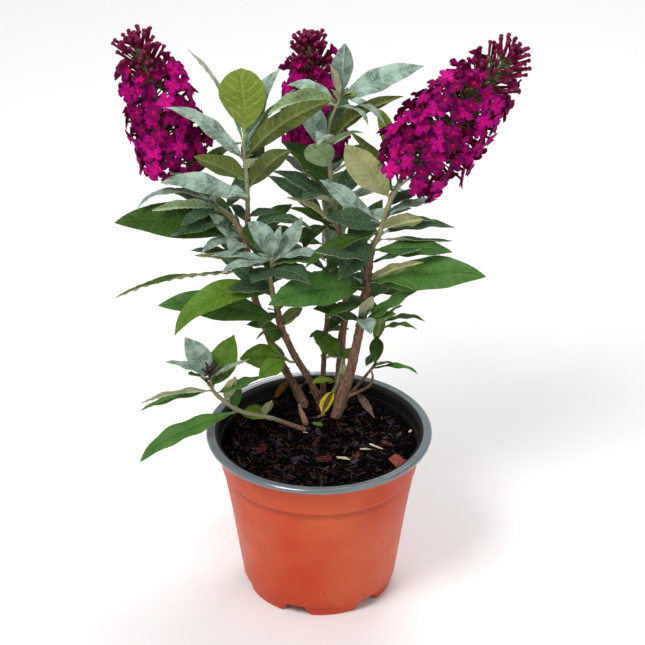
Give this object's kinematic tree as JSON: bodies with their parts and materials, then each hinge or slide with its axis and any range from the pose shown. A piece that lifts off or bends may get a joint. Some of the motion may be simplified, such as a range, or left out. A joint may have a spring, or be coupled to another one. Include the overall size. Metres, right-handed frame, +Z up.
{
  "type": "potted butterfly bush",
  "caption": "Young butterfly bush with woody stems, felted grey-green leaves and magenta flower spikes, in a terracotta-coloured plastic nursery pot of dark bark compost.",
  "frame": {"origin": "on the ground, under the middle of the whole plant's box; the pot's axis stands 0.8 mm to +X and 34.0 mm to -Y of it", "axes": "+Z up; the side of the plant that faces -Y is its front, with +X to the right"},
  "size_m": [0.308, 0.238, 0.4375],
  "materials": {
    "pot": "thin formed plastic, terracotta outside, with a dark inside and a grey rolled rim, satin with faint scuffs",
    "compost": "moist bark compost: dark brown and black chips, fibres and a few pale and red slivers",
    "bark": "young red-brown bark with fine lengthwise ridges and leaf scars, rough",
    "dead_wood": "dry pale brown twig and one dry curled leaf",
    "leaf": "matt leaves, dark or bright green above with sunk veins, felted silver or khaki below and when young, on khaki twigs",
    "flower": "small matt magenta four-lobed flowers with orange-red eyes, maroon buds on grey-green stalks"
  },
  "bodies": {
    "root": {"pot": "pot", "compost": "compost", "stem_front_left": "bark", "stem_back_left": "bark", "stem_back": "bark", "stem_centre": "bark", "stem_right": "bark", "stem_thin": "bark", "dead_twig": "dead_wood", "foliage_front_left": "leaf", "foliage_left": "leaf", "foliage_right": "leaf", "foliage_centre": "leaf", "foliage_back": "leaf", "foliage_low": "leaf", "foliage_side": "leaf", "foliage_foot": "leaf", "foliage_sprig": "leaf", "flower_spike_left": "flower", "flower_spike_back": "flower", "flower_spike_right": "flower"}
  },
  "joints": []
}
